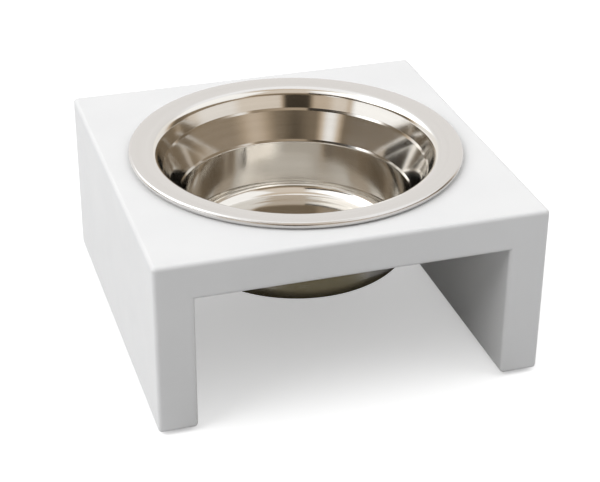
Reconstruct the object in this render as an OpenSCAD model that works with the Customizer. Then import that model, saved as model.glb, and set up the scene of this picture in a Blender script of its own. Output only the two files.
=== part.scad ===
// Low feeding stand for a small dog: three painted boards make a bridge,
// and a pressed steel bowl hangs by its rolled rim in a round cut-out in the top.
// Millimetres, +Z up, origin on the floor under the centre of the bowl, front towards -Y.

/* [Bowl] */
// Diameter over the rolled rim
rim_d = 158; // [140:1:220]
// Width of the rim, from the inside of the mouth to the outer edge
rim_w = 12.5; // [11:0.5:18]
// Diameter of the roll that finishes the rim
roll_d = 3.2; // [2.6:0.1:6]
// Fall of the rim from its roll to the mouth
rim_fall = 1.1; // [0:0.1:1.5]
// Depth of the bowl below the top of the stand
bowl_depth = 52; // [44:1:80]
// Depth of the upper step below the top of the stand
upper_step_depth = 8; // [5:0.5:10]
// Depth of the lower step below the top of the stand
lower_step_depth = 22.5; // [16:0.5:28]
// How far each step comes in
step_w = 0.7; // [0.6:0.1:1.5]
// Fall of each step from its outer to its inner edge
step_fall = 1.2; // [0.6:0.1:1.5]
// How much the wall narrows from the mouth to the upper step
upper_taper = 3.2; // [1:0.1:4]
// How much the wall narrows between the steps
middle_taper = 6; // [3:0.5:8]
// How much the wall narrows from the lower step to the floor
lower_taper = 0.5; // [0.5:0.5:4]
// Bend radius where the rim turns down into the wall
mouth_bend_r = 4.5; // [1.5:0.5:6]
// Bend radius at the edges of the steps
step_bend_r = 1; // [0.6:0.1:1.1]
// Bend radius where the wall turns into the floor
floor_bend_r = 8; // [5:0.5:12]
// Thickness of the steel sheet
sheet_t = 0.7; // [0.5:0.1:1]

/* [Stand] */
// Thickness of the boards
board_t = 18; // [15:1:22]
// Board left between the rim and each side edge of the top
side_margin = 11; // [9:1:40]
// Board left between the rim and the front and back edges of the top
front_margin = 11; // [9:1:40]
// Clear height between the floor and the bowl
under_bowl = 33; // [25:1:150]
// Radius of the eased edges
edge_r = 2; // [1:0.5:3]
// Bevel at both edges of the cut-out
cutout_bevel = 1; // [0.5:0.5:2]

/* [Dowels] */
// Diameter of the dowels
dowel_d = 8; // [6:1:10]
// Length of the dowels
dowel_l = 30; // [25:1:40]
// Wood left over each dowel in the top
dowel_cover = 7; // [5:0.5:8]
// Distance of the outer dowels from the front and back edges
dowel_edge = 30; // [20:1:50]
// Bevel at the ends of the dowels
dowel_bevel = 1; // [0.5:0.5:1.5]
// Glue grooves around each dowel
flute_count = 12; // [8:1:16]
// Width of each glue groove
flute_w = 0.8; // [0.5:0.1:1.2]

/* [Pads] */
// Diameter of the non-slip pads
pad_d = 12; // [8:1:14]
// Thickness of the pads
pad_t = 1.5; // [1:0.5:3]
// Distance of the pad centres from the front and back edges
pad_edge = 14; // [10:1:40]
// Bevel around the underside of the pads
pad_bevel = 0.4; // [0.2:0.1:0.8]

/* [Fits] */
// Gap all round between the bowl's wall and the cut-out
bowl_clearance = 3.1; // [2:0.1:4]
// Gap between the rolled rim and the top panel
seat_gap = 0.2; // [0.1:0.05:0.3]
// Gap all round each dowel, filled by glue
glue_gap = 0.05; // [0.02:0.01:0.1]
// Gap under each dowel in the side panels
dowel_end_gap = 1; // [0.5:0.5:2]

/* [Hidden] */
$fn = 96;
BEND_STEPS = 8;
ROLL_STEPS = 24;
ROLL_TURN = 270;

SIDES = ["left", "right"];
PLACES = ["front", "middle", "back"];
PAD_PLACES = ["front", "back"];
SIDE_X = [-1, 1];
PLACE_Y = [-1, 0, 1];
PAD_PLACE_Y = [-1, 1];

stand_w = rim_d + 2 * side_margin;
stand_d = rim_d + 2 * front_margin;
top_z = under_bowl + bowl_depth;
joint_z = top_z - board_t;
panel_x = (stand_w - board_t) / 2;
opening_w = stand_w - 2 * board_t;

mouth_r = rim_d / 2 - rim_w;
roll_r = (roll_d - sheet_t) / 2;
roll_centre = [(rim_d - roll_d) / 2, top_z + seat_gap + roll_d / 2];
mouth_z = roll_centre.y + roll_r - rim_fall;
cutout_r = mouth_r + sheet_t / 2 + bowl_clearance;

dowel_top_z = top_z - dowel_cover;
dowel_hole_d = dowel_d + 2 * glue_gap;
dowel_hole_l = dowel_l + dowel_end_gap;
dowel_y = stand_d / 2 - dowel_edge;
pad_y = stand_d / 2 - pad_edge;

function node_name(piece, side, place) = str(piece, "_", side, "_", place);

// Middle line of the bowl's sheet, as the corners it would have with no bends
lower_wall_top = [mouth_r - upper_taper - middle_taper - 2 * step_w, top_z - lower_step_depth];
middle_wall_foot = lower_wall_top + [step_w, step_fall];
middle_wall_top = [middle_wall_foot.x + middle_taper, top_z - upper_step_depth];
upper_wall_foot = middle_wall_top + [step_w, step_fall];
floor_z = top_z - bowl_depth + sheet_t / 2;
sheet_corners = [
    [0, floor_z],
    [lower_wall_top.x - lower_taper, floor_z],
    lower_wall_top,
    middle_wall_foot,
    middle_wall_top,
    upper_wall_foot,
    [mouth_r, mouth_z],
    roll_centre + [0, roll_r]
];
bend_radii = [floor_bend_r, step_bend_r, step_bend_r, step_bend_r, step_bend_r, mouth_bend_r];

function unit(v) = v / norm(v);

function arc(centre, radius, start, turn, steps) = [
    for (i = [0 : steps])
        let (angle = start + turn * i / steps)
            centre + radius * [cos(angle), sin(angle)]
];

// Arc of the given radius that rounds the corner between two straight runs
function bend(before, corner, after, radius) =
    let (
        back = unit(before - corner),
        on = unit(after - corner),
        side = cross(back, on) > 0 ? 1 : -1,
        half = atan2(norm(back - on), norm(back + on)),
        inwards = side * [-back.y, back.x],
        centre = corner + radius * (back / tan(half) + inwards),
        turn = -side * (180 - 2 * half)
    )
    arc(centre, radius, atan2(-inwards.y, -inwards.x), turn, BEND_STEPS);

function bent_line(corners, radii) = [
    for (i = [0 : len(radii) - 1])
        each bend(corners[i], corners[i + 1], corners[i + 2], radii[i])
];

function heading(line, i) = unit(line[min(i + 1, len(line) - 1)] - line[max(i - 1, 0)]);

// Line moved sideways by the given distance, to the left of its run
function moved(line, distance) = [
    for (i = [0 : len(line) - 1])
        let (on = heading(line, i)) line[i] + distance * [-on.y, on.x]
];

function reversed(list) = [for (i = [len(list) - 1 : -1 : 0]) list[i]];

sheet_line = concat(
    [sheet_corners[0]],
    bent_line(sheet_corners, bend_radii),
    arc(roll_centre, roll_r, 90, -ROLL_TURN, ROLL_STEPS)
);

// Waste outside an eased edge that runs along z from the origin, with the board towards +x and +y
module edge_waste(length) {
    difference() {
        translate([-edge_r, -edge_r, 0]) cube([2 * edge_r, 2 * edge_r, length]);
        translate([edge_r, edge_r, -edge_r]) cylinder(h = length + 2 * edge_r, r = edge_r);
    }
}

module edge_waste_along_x(length) rotate([90, 0, 90]) edge_waste(length);

module edge_waste_along_y(length) rotate([-90, -90, 0]) edge_waste(length);

// Waste outside an eased corner at the origin, with the board towards +x, +y and +z
module corner_waste() {
    difference() {
        translate([-edge_r, -edge_r, -edge_r]) cube(2 * edge_r);
        translate([edge_r, edge_r, edge_r]) sphere(edge_r);
    }
}

module both_ways(direction) {
    children();
    mirror(direction) children();
}

// Board on z = 0, centred in x and y, with its upright edges and the edges of its lower face eased
module eased_board(size) {
    difference() {
        translate([-size.x / 2, -size.y / 2, 0]) cube(size);
        both_ways([1, 0, 0]) translate([-size.x / 2, -size.y / 2 - edge_r, 0])
            edge_waste_along_y(size.y + 2 * edge_r);
        both_ways([0, 1, 0]) translate([-size.x / 2 - edge_r, -size.y / 2, 0])
            edge_waste_along_x(size.x + 2 * edge_r);
        both_ways([1, 0, 0]) both_ways([0, 1, 0]) translate([-size.x / 2, -size.y / 2, 0]) {
            translate([0, 0, -edge_r]) edge_waste(size.z + 2 * edge_r);
            corner_waste();
        }
    }
}

// Waste under the front edge of the top, mitred at the inside corners over the side panels
module lower_edge_waste() {
    translate([0, -stand_d / 2, joint_z]) {
        translate([-opening_w / 2, 0, 0]) edge_waste_along_x(opening_w);
        both_ways([1, 0, 0]) intersection() {
            edge_waste_along_x(opening_w / 2 + edge_r);
            translate([opening_w / 2, 0, -edge_r]) edge_waste(2 * edge_r);
        }
    }
}

module cutout() {
    translate([0, 0, joint_z - cutout_bevel]) cylinder(h = board_t + 2 * cutout_bevel, r = cutout_r);
    translate([0, 0, joint_z]) cylinder(h = cutout_bevel, r1 = cutout_r + cutout_bevel, r2 = cutout_r);
    translate([0, 0, top_z - cutout_bevel])
        cylinder(h = cutout_bevel, r1 = cutout_r, r2 = cutout_r + cutout_bevel);
}

module dowel_holes() {
    for (x = SIDE_X, y = PLACE_Y)
        translate([x * panel_x, y * dowel_y, dowel_top_z - dowel_hole_l])
            cylinder(h = dowel_hole_l, d = dowel_hole_d);
}

module top_panel() {
    color("white") difference() {
        translate([0, 0, top_z]) mirror([0, 0, 1]) eased_board([stand_w, stand_d, board_t]);
        both_ways([0, 1, 0]) lower_edge_waste();
        cutout();
        dowel_holes();
    }
}

module side_panel(x) {
    color("white") difference() {
        translate([x * panel_x, 0, pad_t]) eased_board([board_t, stand_d, joint_z - pad_t]);
        dowel_holes();
    }
}

module side_panel_left() side_panel(SIDE_X[0]);

module side_panel_right() side_panel(SIDE_X[1]);

module bowl() {
    color("silver") rotate_extrude()
        polygon(concat(moved(sheet_line, sheet_t / 2), reversed(moved(sheet_line, -sheet_t / 2))));
}

module bevelled_pin(length, d, bevel) {
    rotate_extrude() polygon([
        [0, 0],
        [d / 2 - bevel, 0],
        [d / 2, bevel],
        [d / 2, length - bevel],
        [d / 2 - bevel, length],
        [0, length]
    ]);
}

module dowel(x, y) {
    color("burlywood") translate([x * panel_x, y * dowel_y, dowel_top_z - dowel_l]) difference() {
        bevelled_pin(dowel_l, dowel_d, dowel_bevel);
        for (i = [0 : flute_count - 1])
            rotate(i * 360 / flute_count) translate([dowel_d / 2, 0, -dowel_bevel])
                cylinder(h = dowel_l + 2 * dowel_bevel, d = flute_w);
    }
}

module pad(x, y) {
    color("gainsboro") translate([x * panel_x, y * pad_y, 0]) rotate_extrude() polygon([
        [0, 0],
        [pad_d / 2 - pad_bevel, 0],
        [pad_d / 2, pad_bevel],
        [pad_d / 2, pad_t],
        [0, pad_t]
    ]);
}

top_panel();
side_panel_left();
side_panel_right();
bowl();
for (s = [0 : len(SIDES) - 1]) {
    for (p = [0 : len(PLACES) - 1])
        dowel(SIDE_X[s], PLACE_Y[p]);
    for (p = [0 : len(PAD_PLACES) - 1])
        pad(SIDE_X[s], PAD_PLACE_Y[p]);
}
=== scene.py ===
"""Looks for the dog feeder stand: painted boards, a pressed steel bowl and a plain white studio.

Metres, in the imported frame: origin on the floor under the bowl's centre, +Z up, front towards -Y.
Azimuths run from 0 at the front to 90 at the right.
"""

import math

import bpy
import numpy as np
from mathutils import Matrix, Vector


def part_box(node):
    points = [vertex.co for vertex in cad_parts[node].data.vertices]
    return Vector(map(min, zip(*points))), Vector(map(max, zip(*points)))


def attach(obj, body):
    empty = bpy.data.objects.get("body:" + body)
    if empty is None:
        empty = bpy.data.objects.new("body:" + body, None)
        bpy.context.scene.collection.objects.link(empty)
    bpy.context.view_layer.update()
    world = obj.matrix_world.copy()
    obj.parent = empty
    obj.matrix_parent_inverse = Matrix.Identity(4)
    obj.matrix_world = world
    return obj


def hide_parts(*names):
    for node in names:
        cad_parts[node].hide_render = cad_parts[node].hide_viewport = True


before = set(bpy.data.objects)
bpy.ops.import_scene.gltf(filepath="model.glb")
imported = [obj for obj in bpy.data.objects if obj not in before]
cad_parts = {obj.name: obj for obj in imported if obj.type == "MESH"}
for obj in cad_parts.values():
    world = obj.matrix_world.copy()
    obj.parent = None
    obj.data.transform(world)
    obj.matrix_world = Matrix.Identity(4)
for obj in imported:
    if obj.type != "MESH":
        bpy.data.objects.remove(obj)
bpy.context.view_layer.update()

MM = 0.001

# Bowl, as it is pressed from one sheet: depths are below the top of the stand
SHEET_T = 0.7 * MM
RIM_W = 12.5 * MM
ROLL_D = 3.2 * MM
RIM_FALL = 1.1 * MM
UPPER_STEP_DEPTH = 8 * MM
LOWER_STEP_DEPTH = 22.5 * MM
STEP_W = 0.7 * MM
STEP_FALL = 1.2 * MM
UPPER_TAPER = 3.2 * MM
MIDDLE_TAPER = 6 * MM
LOWER_TAPER = 0.5 * MM
MOUTH_BEND_R = 4.5 * MM
STEP_BEND_R = 1 * MM
FLOOR_BEND_R = 8 * MM
SEAT_GAP = 0.2 * MM
ROLL_TURN = math.radians(270)

# Fineness of the bowl's mesh. A guard point beside each bend keeps the shading of the straight run even
BEND_STEPS = 10
RUN_GUARD = 0.15 * MM
ROLL_STEPS = 36
TURN_STEPS = 256

# Materials: tones and roughness as (low, high), noises as (scale, detail, roughness)
# and bumps as (depth, strength). A noise value keeps mostly within NOISE_RANGE
NOISE_RANGE = (0.3, 0.7)

PAINT_TONES = ((0.835, 0.838, 0.842, 1), (0.868, 0.870, 0.872, 1))
PAINT_ROUGHNESS = (0.38, 0.48)
PAINT_IOR = 1.5
PAINT_COAT = (22, 3, 0.5)
PAINT_SHEEN = (130, 3, 0.5)
PAINT_SWELL = (60, 2, 0.5)
PAINT_SWELL_BUMP = (0.6 * MM, 0.08)
PAINT_STIPPLE = (900, 2, 0.5)
PAINT_STIPPLE_BUMP = (0.08 * MM, 0.12)

# Steel of the bowl's inside, its rim and its outside. The marks and the bands are turned ones,
# with their scale per millimetre of the wall
POLISHED_STEEL = {
    "tones": ((0.675, 0.655, 0.62, 1), (0.705, 0.685, 0.65, 1)),
    "roughness": (0.08, 0.13),
    "anisotropy": 0.4,
    "mark_depth": 0.0015 * MM,
}
SATIN_STEEL = {
    "tones": ((0.622, 0.61, 0.598, 1), (0.648, 0.638, 0.628, 1)),
    "roughness": (0.18, 0.25),
    "anisotropy": 0.3,
    "mark_depth": 0.002 * MM,
}
PLAIN_STEEL = {
    "tones": ((0.50, 0.48, 0.45, 1), (0.55, 0.53, 0.50, 1)),
    "roughness": (0.18, 0.28),
    "anisotropy": 0.3,
    "mark_depth": 0.008 * MM,
}
STEEL_TURNED_SCALE = 1 / MM
STEEL_MARKS = (2.2, 4, 0.7)
STEEL_MARK_STRENGTH = 0.2
STEEL_BANDS = (0.25, 2, 0.5)
STEEL_WAVES = (28, 1, 0.5)
STEEL_WAVE_BUMP = (0.8 * MM, 0.05)
STEEL_GLINT_TURN = 0.25

BEECH_TONES = ((0.46, 0.28, 0.15, 1), (0.66, 0.46, 0.28, 1))
BEECH_ROUGHNESS = (0.55, 0.75)
BEECH_FIBRE_SCALE = (900, 900, 60)
BEECH_GRAIN = (1, 5, 0.6)
BEECH_BUMP = (0.1 * MM, 0.3)

SILICONE_TONES = ((0.62, 0.62, 0.60, 1), (0.74, 0.74, 0.72, 1))
SILICONE_ROUGHNESS = (0.42, 0.58)
SILICONE_CLOUD = (300, 3, 0.5)
SILICONE_SKIN = (2500, 2, 0.5)
SILICONE_BUMP = (0.03 * MM, 0.3)
SILICONE_GLOW = 0.3
SILICONE_GLOW_DEPTH = 2 * MM

# Fibre noise and tones of the sheets seen only in mirrors: a painted dark reflection and painted shade
# under the stand
FELT_FIBRES = (700, 4, 0.7)
PAINTED_REFLECTION_TONES = ((0.05, 0.04, 0.03, 1), (0.07, 0.055, 0.04, 1))
PAINTED_SHADE_TONES = ((0.185, 0.165, 0.105, 1), (0.235, 0.21, 0.14, 1))

# Camera, as it stood for the photograph
CAMERA_AZIMUTH = math.radians(-17.6)
CAMERA_ELEVATION = math.radians(29.25)
CAMERA_ROLL = math.radians(0.44)
CAMERA_DISTANCE = 0.7755
CAMERA_TARGET = Vector((0.0022, -0.0007, 0.03565))
CAMERA_LENS_MM = 95.29
CAMERA_SENSOR_MM = 36.0

# Floor: white where it is seen, with a lift to plain white, and greyer in the light that it throws back
FLOOR_SIZE = 8.0
WHITE = (1.0, 1.0, 1.0, 1.0)
FLOOR_WHITE = (0.97, 0.97, 0.97, 1)
FLOOR_BOUNCE = (0.52, 0.52, 0.52, 1)
FLOOR_LIFT = 0.4

# Light on the paint: an even one from all round, and wide lamps as (azimuth, elevation, strength).
# Angles are in degrees here and below
AMBIENT = 0.36
LAMP_SPREAD = 60
LAMPS = {
    "left_softbox": (-95, 46, 0.58),
    "right_softbox": (85, 50, 0.30),
}

# What the steel mirrors: a pale room with patches that cover one another in turn,
# as (azimuths, elevations, soft edges, light). The room is warmer where it is dim,
# from no warmth at the first of the two levels to all of it at the second
PALE_ROOM = 1.05
WARM = (1.28, 1.0, 0.70, 1.0)
WARM_LEVELS = (1.25, 0.2)
ALL_ROUND = (-360, 360)
SURROUNDINGS = (
    (ALL_ROUND, (45, 120), (1, 5), 1.35),  # upper room
    ((-105, 105), (70, 120), (25, 5), 0.65),  # front half of the ceiling
    ((-130, 110), (-10, 28.5), (10, 2), 0.16),  # dim lower room
    ((36, 88), (-10, 28.5), (8, 2), 0.25),  # its right part
    ((-57, -42), (-10, 25), (7, 1.5), 1.2),  # bright upright at the left
    ((8, 34), (-10, 25), (12, 1.5), 0.56),  # pale upright at the right
    ((-24, -10), (-10, 27), (8, 2), 0.06),  # dark patch below the camera
    ((-76, -44), (30, 38), (5, 1), 0.3),  # dim band at the left
    ((-44, 30), (25, 36), (8, 2.5), 0.22),  # dim band at the camera's height
    ((-38, 26), (34, 40), (6, 3), 0.36),  # its upper edge
    ((-36, 24), (40, 76), (8, 4), 0.78),  # wall above it
    ((30, 115), (31, 66), (8, 3), 1.3),  # bright right wall
    ((-160, -77), (24, 64), (18, 2), 2.9),  # bright left window
    ((-110, -54), (37, 68), (8, 4), 1.9),  # its dimmer front end
)

# Low strip of that room, as (azimuths, soft edge, light), under a skyline that is highest at the camera
SKYLINE = 19.8
SKYLINE_SOFT = 1.5
SKYLINE_SPREAD = 1.42
SKYLINE_LEAST = 0.2
LOW_STRIP = (
    ((-64, 85), 5, 0.80),  # pale front
    ((34, 72), 6, 1.0),  # its bright right part
    ((-48, -28), 5, 0.56),  # its dim left part
    ((-160, -66), 4, 1.38),  # bright left
    ((-31, -6), 3.5, 0.04),  # dark patch below the camera
)

# Dark strip in the air at the left, rising and widening to the front and seen only in mirrors: a painted
# dark reflection for the bowl's right end
FLAG_RADIUS = 200 * MM
FLAG_AZIMUTHS = (-90, -30)
FLAG_FEET = (162 * MM, 244 * MM)
FLAG_WIDTHS = (22 * MM, 76 * MM)
FLAG_STEPS = 24

# Brown sheet under the stand, seen only in mirrors: painted shade under the stand for the outside of the
# bowl to mirror
MAT_HALF_WIDTH = 80 * MM
MAT_FRONT = -270 * MM
MAT_BACK = 90 * MM
MAT_LIFT = 0.2 * MM


def plane_vector(x, y):
    return Vector((x, y))


def arc_points(centre, radius, start, turn, steps):
    angles = [start + turn * i / steps for i in range(steps + 1)]
    return [centre + radius * plane_vector(math.cos(a), math.sin(a)) for a in angles]


def bend_points(before, corner, after, radius):
    """Arc of the given radius between two straight runs, with a guard point on each run."""
    back = (before - corner).normalized()
    on = (after - corner).normalized()
    half = math.acos(back.dot(on)) / 2
    centre = corner + (back + on).normalized() * radius / math.sin(half)
    first = corner + back * radius / math.tan(half) - centre
    turn = -math.copysign(math.pi - 2 * half, back.cross(on))
    arc = arc_points(centre, radius, math.atan2(first.y, first.x), turn, BEND_STEPS)
    return [arc[0] + RUN_GUARD * back] + arc + [arc[-1] + RUN_GUARD * on]


def sheet_middle_line():
    """Middle line of the bowl's sheet, from the centre of the floor to the end of the rolled rim."""
    low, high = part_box("bowl")
    top_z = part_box("top_panel")[1].z
    rim_r = high.x
    mouth_r = rim_r - RIM_W
    roll_r = (ROLL_D - SHEET_T) / 2
    roll_centre = plane_vector(rim_r - ROLL_D / 2, top_z + SEAT_GAP + ROLL_D / 2)
    floor_z = low.z + SHEET_T / 2
    step = plane_vector(STEP_W, STEP_FALL)
    lower_wall_r = mouth_r - UPPER_TAPER - MIDDLE_TAPER - 2 * STEP_W
    lower_wall_top = plane_vector(lower_wall_r, top_z - LOWER_STEP_DEPTH)
    middle_wall_top = plane_vector(lower_wall_r + STEP_W + MIDDLE_TAPER, top_z - UPPER_STEP_DEPTH)
    corners = [
        plane_vector(0, floor_z),
        plane_vector(lower_wall_r - LOWER_TAPER, floor_z),
        lower_wall_top,
        lower_wall_top + step,
        middle_wall_top,
        middle_wall_top + step,
        plane_vector(mouth_r, roll_centre.y + roll_r - RIM_FALL),
        roll_centre + plane_vector(0, roll_r),
    ]
    radii = [FLOOR_BEND_R] + 4 * [STEP_BEND_R] + [MOUTH_BEND_R]
    line = [corners[0]]
    for i, radius in enumerate(radii):
        line += bend_points(corners[i], corners[i + 1], corners[i + 2], radius)
    return line + arc_points(roll_centre, roll_r, math.pi / 2, -ROLL_TURN, ROLL_STEPS)


def moved_sideways(line, distance):
    """The line moved to the left of its run by the given distance."""
    moved = []
    for i, point in enumerate(line):
        on = (line[min(i + 1, len(line) - 1)] - line[max(i - 1, 0)]).normalized()
        moved.append(point + distance * plane_vector(-on.y, on.x))
    return moved


def lathe(name, section):
    """Mesh turned round Z from a section with both ends on the axis.

    The second value gives the number of the section's run that each face comes from.
    """
    turns = [2 * math.pi * i / TURN_STEPS for i in range(TURN_STEPS)]
    ring_points = section[1:-1]
    vertices = [(p.x * math.cos(a), p.x * math.sin(a), p.y) for p in ring_points for a in turns]
    first_pole = len(vertices)
    last_pole = first_pole + 1
    vertices += [(0, 0, section[0].y), (0, 0, section[-1].y)]
    last_ring = (len(ring_points) - 1) * TURN_STEPS
    faces = []
    runs = []
    for i in range(TURN_STEPS):
        j = (i + 1) % TURN_STEPS
        faces += [(first_pole, i, j), (last_pole, last_ring + j, last_ring + i)]
        runs += [0, len(ring_points)]
        for ring in range(len(ring_points) - 1):
            a, b = ring * TURN_STEPS, (ring + 1) * TURN_STEPS
            faces.append((a + i, b + i, b + j, a + j))
            runs.append(ring + 1)
    mesh = bpy.data.meshes.new(name)
    mesh.from_pydata(vertices, [], faces)
    mesh.polygons.foreach_set("use_smooth", [True] * len(faces))
    return mesh, np.array(runs)


def add_object(name, data):
    placed = bpy.data.objects.new(name, data)
    bpy.context.scene.collection.objects.link(placed)
    return placed


def build_bowl(materials):
    """Bowl of one sheet, with the rim's finish from half-way round the bend of the mouth outwards."""
    line = sheet_middle_line()
    upper = moved_sideways(line, SHEET_T / 2)
    lower = moved_sideways(line, -SHEET_T / 2)
    mesh, runs = lathe("bowl_pressed", upper + lower[::-1])
    for material in materials:
        mesh.materials.append(material)
    inside, rim, outside = range(len(materials))
    # The line ends with the bend of the mouth, a guard point and the roll
    rim_start = len(line) - ROLL_STEPS - 2 - BEND_STEPS // 2
    outside_start = 2 * len(line) - rim_start
    zones = np.where(runs < rim_start, inside, np.where(runs < outside_start, rim, outside))
    mesh.polygons.foreach_set("material_index", zones.astype(np.int32))
    mesh.validate()
    bowl = add_object("bowl_pressed", mesh)
    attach(bowl, "bowl")
    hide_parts("bowl")


def set_inputs(tree, node, values):
    """Each named input of a node set to a value or linked to an output."""
    for name, value in values.items():
        if isinstance(value, bpy.types.NodeSocket):
            tree.links.new(value, node.inputs[name])
        else:
            node.inputs[name].default_value = value


def add_node(tree, kind, inputs=None, **settings):
    node = tree.nodes.new(kind)
    for name, value in settings.items():
        setattr(node, name, value)
    set_inputs(tree, node, inputs or {})
    return node


def math_node(tree, operation, first, second=0.0):
    node = add_node(tree, "ShaderNodeMath", {0: first, 1: second}, operation=operation)
    return node.outputs["Value"]


def mix(tree, kind, share, first, second):
    """The first value where share is 0 and the second where it is 1; kind is FLOAT or RGBA."""
    inputs = {"Factor": share, "A": first, "B": second}
    return add_node(tree, "ShaderNodeMix", inputs, data_type=kind).outputs["Result"]


def noise(tree, vector, grain):
    scale, detail, roughness = grain
    inputs = {"Vector": vector, "Scale": scale, "Detail": detail, "Roughness": roughness}
    return add_node(tree, "ShaderNodeTexNoise", inputs).outputs["Fac"]


def spread(tree, value, low, high):
    """A noise value spread from low to high."""
    least, most = NOISE_RANGE
    inputs = {"Value": value, "From Min": least, "From Max": most, "To Min": low, "To Max": high}
    return add_node(tree, "ShaderNodeMapRange", inputs).outputs["Result"]


def mottle(tree, value, tones):
    """Two tones mixed by a noise value."""
    return mix(tree, "RGBA", spread(tree, value, 0, 1), *tones)


def bump(tree, height, depth, strength, normal=None):
    inputs = {"Height": height, "Distance": depth, "Strength": strength}
    if normal is not None:
        inputs["Normal"] = normal
    return add_node(tree, "ShaderNodeBump", inputs).outputs["Normal"]


def new_material(name):
    material = bpy.data.materials.new(name)
    material.use_nodes = True
    tree = material.node_tree
    return material, tree, tree.nodes["Principled BSDF"]


def object_place(tree):
    return add_node(tree, "ShaderNodeTexCoord").outputs["Object"]


def paint_material():
    """Satin white paint, rolled on over smooth board."""
    material, tree, shader = new_material("satin_white_paint")
    place = object_place(tree)
    normal = bump(tree, noise(tree, place, PAINT_SWELL), *PAINT_SWELL_BUMP)
    set_inputs(tree, shader, {
        "Base Color": mottle(tree, noise(tree, place, PAINT_COAT), PAINT_TONES),
        "Roughness": spread(tree, noise(tree, place, PAINT_SHEEN), *PAINT_ROUGHNESS),
        "Normal": bump(tree, noise(tree, place, PAINT_STIPPLE), *PAINT_STIPPLE_BUMP, normal),
        "IOR": PAINT_IOR,
    })
    return material


def turned_place(tree, place):
    """Coordinates that run slowly round the bowl's axis and quickly along its wall, for turned marks."""
    parts = add_node(tree, "ShaderNodeSeparateXYZ", {"Vector": place}).outputs
    flat = add_node(tree, "ShaderNodeCombineXYZ", {"X": parts["X"], "Y": parts["Y"]}).outputs["Vector"]
    radius = add_node(tree, "ShaderNodeVectorMath", {0: flat}, operation="LENGTH").outputs["Value"]
    outward = add_node(tree, "ShaderNodeVectorMath", {0: flat}, operation="NORMALIZE").outputs["Vector"]
    heading = add_node(tree, "ShaderNodeSeparateXYZ", {"Vector": outward}).outputs
    along = math_node(tree, "MULTIPLY", math_node(tree, "ADD", radius, parts["Z"]), STEEL_TURNED_SCALE)
    turned = {"X": heading["X"], "Y": heading["Y"], "Z": along}
    return add_node(tree, "ShaderNodeCombineXYZ", turned).outputs["Vector"]


def steel_material(name, tones, roughness, anisotropy, mark_depth):
    """Stainless steel with fine turned marks."""
    material, tree, shader = new_material(name)
    place = object_place(tree)
    turned = turned_place(tree, place)
    marks = noise(tree, turned, STEEL_MARKS)
    normal = bump(tree, noise(tree, place, STEEL_WAVES), *STEEL_WAVE_BUMP)
    tangent = add_node(tree, "ShaderNodeTangent", direction_type="RADIAL", axis="Z").outputs["Tangent"]
    set_inputs(tree, shader, {
        "Base Color": mottle(tree, noise(tree, turned, STEEL_BANDS), tones),
        "Metallic": 1.0,
        "Roughness": spread(tree, marks, *roughness),
        "Anisotropic": anisotropy,
        "Anisotropic Rotation": STEEL_GLINT_TURN,
        "Tangent": tangent,
        "Normal": bump(tree, marks, mark_depth, STEEL_MARK_STRENGTH, normal),
    })
    return material


def bowl_materials():
    """Steel of the bowl's inside, its rim and its outside."""
    return [
        steel_material("polished_steel", **POLISHED_STEEL),
        steel_material("satin_steel", **SATIN_STEEL),
        steel_material("plain_steel", **PLAIN_STEEL),
    ]


def beech_material():
    """Beech of the dowels, with its grain along Z."""
    material, tree, shader = new_material("beech")
    stretch = {0: object_place(tree), 1: BEECH_FIBRE_SCALE}
    along = add_node(tree, "ShaderNodeVectorMath", stretch, operation="MULTIPLY").outputs["Vector"]
    grain = noise(tree, along, BEECH_GRAIN)
    set_inputs(tree, shader, {
        "Base Color": mottle(tree, grain, BEECH_TONES),
        "Roughness": spread(tree, grain, *BEECH_ROUGHNESS),
        "Normal": bump(tree, grain, *BEECH_BUMP),
    })
    return material


def silicone_material():
    """Cloudy silicone of the pads."""
    material, tree, shader = new_material("silicone")
    place = object_place(tree)
    cloud = noise(tree, place, SILICONE_CLOUD)
    set_inputs(tree, shader, {
        "Base Color": mottle(tree, cloud, SILICONE_TONES),
        "Roughness": spread(tree, cloud, *SILICONE_ROUGHNESS),
        "Subsurface Weight": SILICONE_GLOW,
        "Subsurface Radius": 3 * (SILICONE_GLOW_DEPTH,),
        "Normal": bump(tree, noise(tree, place, SILICONE_SKIN), *SILICONE_BUMP),
    })
    return material


def dress_nodes():
    paint = paint_material()
    finishes = {"top": paint, "side": paint, "dowel": beech_material(), "pad": silicone_material()}
    for name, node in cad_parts.items():
        kind = name.split("_")[0]
        if kind in finishes:
            node.material_slots[0].material = finishes[kind]


def light_path(tree):
    return add_node(tree, "ShaderNodeLightPath").outputs


def in_mirrors(tree, path):
    """1 for rays from a mirror or a glass, and 0 for others."""
    return math_node(tree, "MAXIMUM", path["Is Glossy Ray"], path["Is Transmission Ray"])


def add_studio_piece(name, vertices, faces, material, only_in_mirrors=True):
    mesh = bpy.data.meshes.new(name)
    mesh.from_pydata(vertices, [], faces)
    mesh.materials.append(material)
    piece = add_object(name, mesh)
    if only_in_mirrors:
        piece.visible_camera = piece.visible_diffuse = piece.visible_shadow = False


def level_rectangle(left, right, front, back, height):
    """Corners and face of a level rectangle."""
    corners = ((left, front), (right, front), (right, back), (left, back))
    return [(x, y, height) for x, y in corners], [(0, 1, 2, 3)]


def floor_material():
    material, tree, shader = new_material("studio_floor")
    path = light_path(tree)
    seen = math_node(tree, "MAXIMUM", path["Is Camera Ray"], in_mirrors(tree, path))
    set_inputs(tree, shader, {
        "Base Color": mix(tree, "RGBA", seen, FLOOR_BOUNCE, FLOOR_WHITE),
        "Roughness": 1.0,
        "Specular IOR Level": 0.0,
        "Emission Color": WHITE,
        "Emission Strength": math_node(tree, "MULTIPLY", path["Is Camera Ray"], FLOOR_LIFT),
    })
    return material


def build_floor():
    half = FLOOR_SIZE / 2
    vertices, faces = level_rectangle(-half, half, -half, half, 0)
    add_studio_piece("studio_floor", vertices, faces, floor_material(), only_in_mirrors=False)


# Matte sheet seen only in mirrors, whose tones are painted reflection and painted shade
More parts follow.
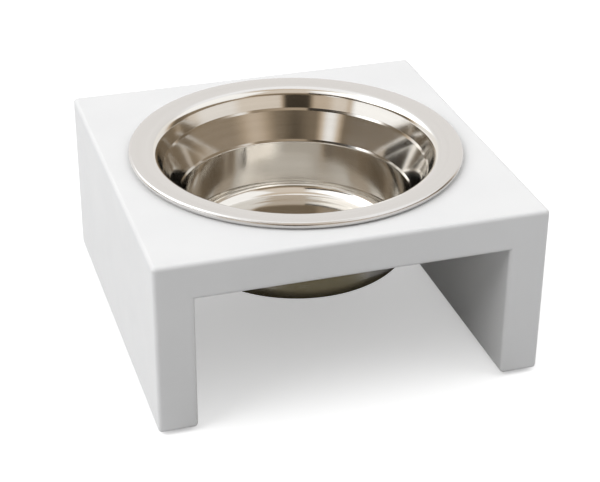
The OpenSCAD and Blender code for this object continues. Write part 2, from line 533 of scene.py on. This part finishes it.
def painted_reflection_material(name, tones):
    material, tree, shader = new_material(name)
    set_inputs(tree, shader, {
        "Base Color": mottle(tree, noise(tree, object_place(tree), FELT_FIBRES), tones),
        "Roughness": 1.0,
        "Specular IOR Level": 0.0,
    })
    return material


def ring_place(radius, azimuth, height):
    turn = math.radians(azimuth)
    return (radius * math.sin(turn), -radius * math.cos(turn), height)


def between(span, share):
    first, last = span
    return first + (last - first) * share


# Dark strip seen only in mirrors: a painted dark reflection in the bowl's right end
def build_painted_reflection_flag():
    vertices = []
    for i in range(FLAG_STEPS + 1):
        share = i / FLAG_STEPS
        azimuth = between(FLAG_AZIMUTHS, share)
        foot = between(FLAG_FEET, share)
        head = foot + between(FLAG_WIDTHS, math.sqrt(share))
        vertices += [ring_place(FLAG_RADIUS, azimuth, height) for height in (foot, head)]
    faces = [(i, i + 2, i + 3, i + 1) for i in range(0, 2 * FLAG_STEPS, 2)]
    add_studio_piece("painted_reflection_flag", vertices, faces, painted_reflection_material("painted_dark_reflection", PAINTED_REFLECTION_TONES))


# Brown sheet seen only in mirrors: painted shade under the stand, as mirrored by the outside of the bowl
def build_painted_shade_mat():
    vertices, faces = level_rectangle(-MAT_HALF_WIDTH, MAT_HALF_WIDTH, MAT_FRONT, MAT_BACK, MAT_LIFT)
    add_studio_piece("painted_shade_mat", vertices, faces, painted_reflection_material("painted_shade_brown", PAINTED_SHADE_TONES))


def smooth_step(tree, value, low, high):
    """0 below low, 1 above high and a smooth run between them; low may be the greater one."""
    inputs = {"Value": value, "From Min": low, "From Max": high}
    node = add_node(tree, "ShaderNodeMapRange", inputs, interpolation_type="SMOOTHSTEP")
    return node.outputs["Result"]


def within(tree, value, span, soft):
    """1 inside a span of angles and 0 outside it, with soft edges."""
    low, high = span
    above = smooth_step(tree, value, low - soft, low + soft)
    below = smooth_step(tree, value, high + soft, high - soft)
    return math_node(tree, "MULTIPLY", above, below)


def under_skyline(tree, turn, elevation):
    """1 under a skyline that sinks on both sides of the camera, and 0 over it."""
    from_camera = math_node(tree, "SUBTRACT", turn, CAMERA_AZIMUTH)
    sink = math_node(tree, "COSINE", math_node(tree, "DIVIDE", from_camera, SKYLINE_SPREAD))
    height = math_node(tree, "DIVIDE", elevation, math_node(tree, "MAXIMUM", sink, SKYLINE_LEAST))
    return smooth_step(tree, height, SKYLINE + SKYLINE_SOFT, SKYLINE - SKYLINE_SOFT)


def mirrored_surroundings(tree):
    """Light that the steel mirrors: a pale room behind the patches of SURROUNDINGS and LOW_STRIP."""
    direction = add_node(tree, "ShaderNodeTexCoord").outputs["Generated"]
    parts = add_node(tree, "ShaderNodeSeparateXYZ", {"Vector": direction}).outputs
    towards_front = math_node(tree, "MULTIPLY", parts["Y"], -1.0)
    turn = math_node(tree, "ARCTAN2", parts["X"], towards_front)
    azimuth = math_node(tree, "DEGREES", turn)
    elevation = math_node(tree, "DEGREES", math_node(tree, "ARCSINE", parts["Z"]))
    light = PALE_ROOM
    for azimuths, elevations, (soft_across, soft_up), level in SURROUNDINGS:
        across = within(tree, azimuth, azimuths, soft_across)
        up = within(tree, elevation, elevations, soft_up)
        light = mix(tree, "FLOAT", math_node(tree, "MULTIPLY", across, up), light, level)
    low = under_skyline(tree, turn, elevation)
    for azimuths, soft, level in LOW_STRIP:
        across = within(tree, azimuth, azimuths, soft)
        light = mix(tree, "FLOAT", math_node(tree, "MULTIPLY", across, low), light, level)
    return light


def build_world():
    """White for the camera, the room of patches in mirrors and an even light on all else."""
    world = bpy.data.worlds.new("studio")
    world.use_nodes = True
    tree = world.node_tree
    path = light_path(tree)
    mirrored = in_mirrors(tree, path)
    room = mirrored_surroundings(tree)
    light = mix(tree, "FLOAT", mirrored, AMBIENT, room)
    warm = math_node(tree, "MULTIPLY", mirrored, smooth_step(tree, room, *WARM_LEVELS))
    set_inputs(tree, tree.nodes["Background"], {
        "Color": mix(tree, "RGBA", warm, WHITE, WARM),
        "Strength": math_node(tree, "MAXIMUM", light, path["Is Camera Ray"]),
    })
    bpy.context.scene.world = world


def add_soft_light(name, azimuth, elevation, strength):
    """Wide even light from one side, which at strength 1 makes a white face square to it fully white."""
    lamp = bpy.data.lights.new(name, "SUN")
    lamp.angle = math.radians(LAMP_SPREAD)
    lamp.energy = strength * math.pi
    light = add_object(name, lamp)
    rise = math.radians(elevation)
    towards = Vector(ring_place(math.cos(rise), azimuth, math.sin(rise)))
    light.rotation_euler = towards.to_track_quat("Z", "Y").to_euler()
    light.visible_glossy = False


def build_lights():
    for name, (azimuth, elevation, strength) in LAMPS.items():
        add_soft_light(name, azimuth, elevation, strength)


def build_camera():
    lens = bpy.data.cameras.new("camera")
    lens.sensor_fit = "HORIZONTAL"
    lens.sensor_width = CAMERA_SENSOR_MM
    lens.lens = CAMERA_LENS_MM
    camera = add_object("camera", lens)
    turned = Matrix.Rotation(CAMERA_AZIMUTH, 4, "Z")
    turned = turned @ Matrix.Rotation(math.pi / 2 - CAMERA_ELEVATION, 4, "X")
    turned = turned @ Matrix.Rotation(CAMERA_ROLL, 4, "Z")
    back = turned.to_3x3() @ Vector((0, 0, 1))
    camera.matrix_world = Matrix.Translation(CAMERA_TARGET + CAMERA_DISTANCE * back) @ turned
    bpy.context.scene.camera = camera


def set_view():
    bpy.context.scene.view_settings.view_transform = "Standard"


build_bowl(bowl_materials())
dress_nodes()
build_floor()
build_painted_reflection_flag()
build_painted_shade_mat()
build_world()
build_lights()
build_camera()
set_view()
